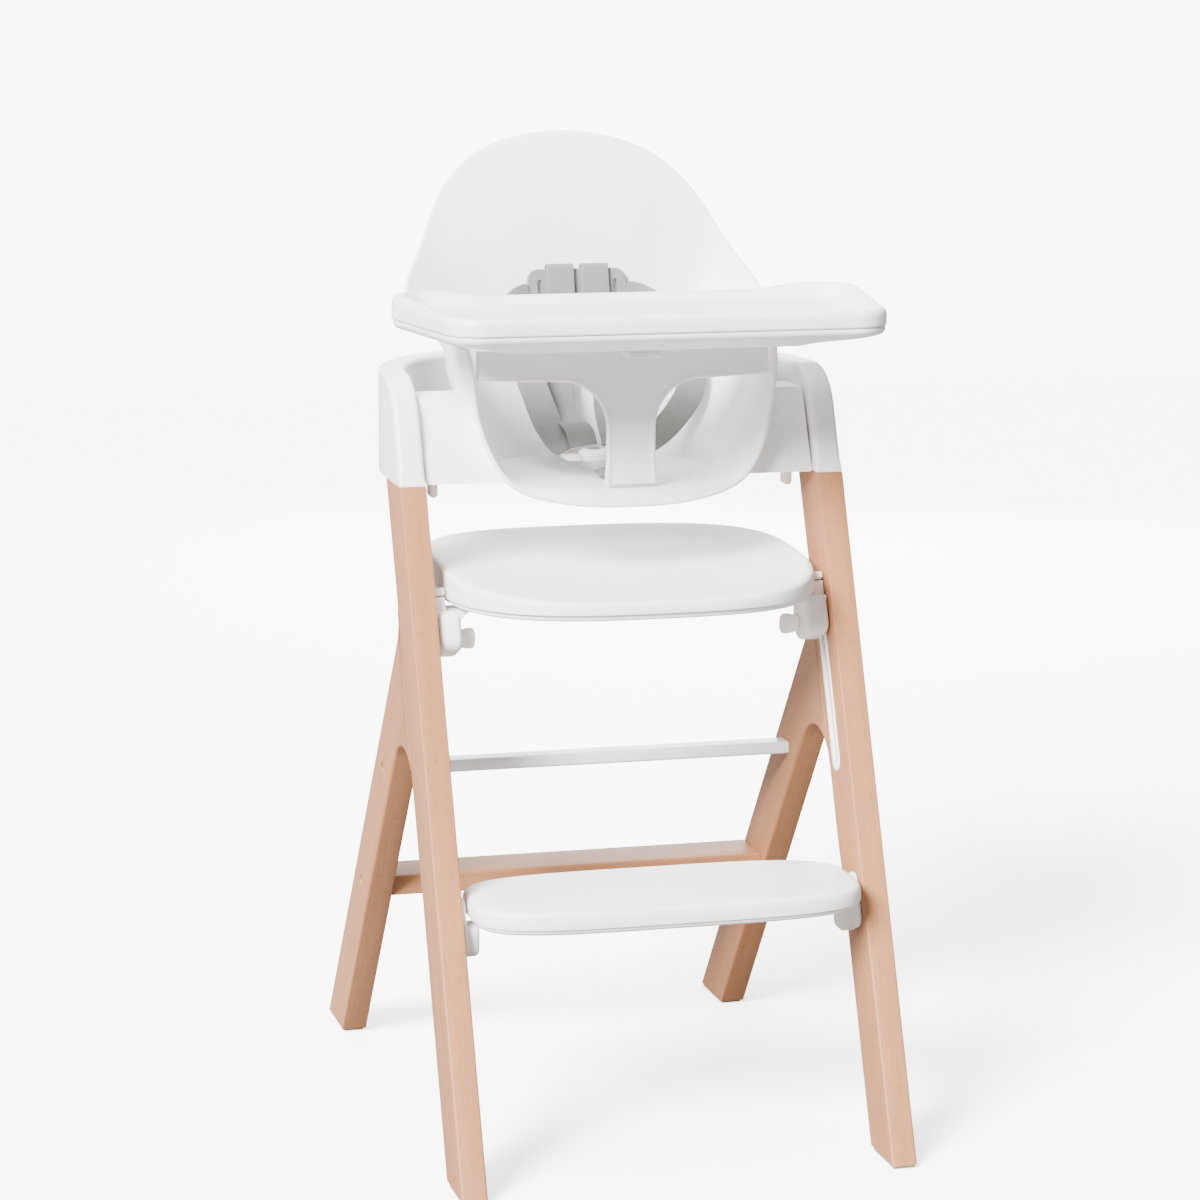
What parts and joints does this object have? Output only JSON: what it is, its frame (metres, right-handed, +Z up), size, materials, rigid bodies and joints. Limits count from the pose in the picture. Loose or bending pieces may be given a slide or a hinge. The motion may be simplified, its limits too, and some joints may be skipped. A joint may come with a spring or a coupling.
{
  "type": "baby high chair",
  "caption": "Beech high chair with a removable moulded infant seat, harness, two-part tray, height-adjustable seat plate and a footplate.",
  "frame": {"origin": "on the floor, in the middle between the four feet", "axes": "+Z up, the chair faces -Y, +X to the right as seen from the front"},
  "size_m": [0.453, 0.6166, 0.931],
  "materials": {
    "beech": "clear satin lacquer",
    "white_plastic": "fine satin moulding",
    "white_paint": "semi-gloss powder coat",
    "steel": "zinc plated",
    "grey_plastic": "fine satin moulding",
    "grey_webbing": "woven webbing",
    "glide_plastic": "matt"
  },
  "bodies": {
    "frame": {"front_leg_left": "beech", "front_leg_right": "beech", "rear_leg_left": "beech", "rear_leg_right": "beech", "glide_front_left": "glide_plastic", "glide_front_right": "glide_plastic", "glide_rear_left": "glide_plastic", "glide_rear_right": "glide_plastic", "height_rail_left": "white_plastic", "height_rail_right": "white_plastic", "metal_crossbar": "white_paint", "wood_crossbar": "beech", "metal_bar_bolt_left": "steel", "metal_bar_bolt_right": "steel", "wood_bar_bolt_left": "steel", "wood_bar_bolt_right": "steel", "crossbar_plug_left": "steel", "crossbar_plug_right": "steel", "barrel_nut_left": "steel", "barrel_nut_right": "steel", "backrest_band": "white_plastic", "band_bolt_left": "steel", "band_bolt_right": "steel", "footplate_cover": "white_plastic", "footplate_base": "white_plastic", "footplate_bracket_left": "white_plastic", "footplate_bracket_right": "white_plastic", "footplate_screw_left": "steel", "footplate_screw_right": "steel"},
    "seat_plate": {"seat_top": "white_plastic", "seat_pan": "white_plastic", "seat_bracket_left": "white_plastic", "seat_bracket_right": "white_plastic", "seat_bracket_cap_left": "white_plastic", "seat_bracket_cap_right": "white_plastic", "clamp_stud_left": "steel", "clamp_stud_right": "steel"},
    "knob_left": {"clamp_knob_left": "white_plastic"},
    "knob_right": {"clamp_knob_right": "white_plastic"},
    "baby_seat": {"infant_seat": "white_plastic", "lever_pin_left": "steel", "lever_pin_right": "steel", "t_bar": "white_plastic", "harness_plate": "grey_plastic", "shoulder_strap_left": "grey_webbing", "shoulder_strap_right": "grey_webbing", "side_strap_left": "grey_webbing", "side_strap_right": "grey_webbing", "crotch_strap": "grey_webbing", "buckle_body": "white_plastic", "buckle_tongue_left": "white_plastic", "buckle_tongue_right": "white_plastic"},
    "lever_left": {"release_lever_left": "white_plastic"},
    "lever_right": {"release_lever_right": "white_plastic"},
    "button": {"buckle_button": "grey_plastic"},
    "tray": {"tray_base": "white_plastic", "tray_release_pin": "steel"},
    "upper_tray": {"tray_cover": "white_plastic"},
    "tray_paddle": {"tray_release": "white_plastic"}
  },
  "joints": [
    {"name": "seat_height", "type": "slide", "parent": "frame", "child": "seat_plate", "axis": [0, -0.3786, -0.9256], "range_m": [0, 0.115]},
    {"name": "knob_left_turn", "type": "hinge", "parent": "seat_plate", "child": "knob_left", "pos_m": [-0.1675, -0.07643, 0.4745], "axis": [1, 0, 0], "range_deg": [0, 180]},
    {"name": "knob_right_turn", "type": "hinge", "parent": "seat_plate", "child": "knob_right", "pos_m": [0.1675, -0.07643, 0.4745], "axis": [-1, 0, 0], "range_deg": [0, 180]},
    {"name": "infant_seat_lift", "type": "slide", "parent": "frame", "child": "baby_seat", "axis": [0, 0, 1], "range_m": [0, 0.15]},
    {"name": "lever_left_squeeze", "type": "hinge", "parent": "baby_seat", "child": "lever_left", "pos_m": [-0.176, -0.01, 0.662], "axis": [0, -1, 0], "range_deg": [0, 8], "stiffness_Nm_per_rad": 0.3, "springref_deg": -2.86},
    {"name": "lever_right_squeeze", "type": "hinge", "parent": "baby_seat", "child": "lever_right", "pos_m": [0.176, -0.01, 0.662], "axis": [0, 1, 0], "range_deg": [0, 8], "stiffness_Nm_per_rad": 0.3, "springref_deg": -2.86},
    {"name": "buckle_press", "type": "slide", "parent": "baby_seat", "child": "button", "axis": [0, 0, -1], "range_m": [0, 0.0022], "stiffness_N_per_m": 400, "springref_m": -0.0005},
    {"name": "tray_slide", "type": "slide", "parent": "baby_seat", "child": "tray", "axis": [0, -1, 0], "range_m": [0, 0.12]},
    {"name": "tray_cover_lift", "type": "slide", "parent": "tray", "child": "upper_tray", "axis": [0, 0, 1], "range_m": [0, 0.05]},
    {"name": "tray_paddle_pull", "type": "hinge", "parent": "tray", "child": "tray_paddle", "pos_m": [0, -0.096, 0.744], "axis": [-1, 0, 0], "range_deg": [0, 6], "stiffness_Nm_per_rad": 0.2, "springref_deg": -2.86}
  ]
}
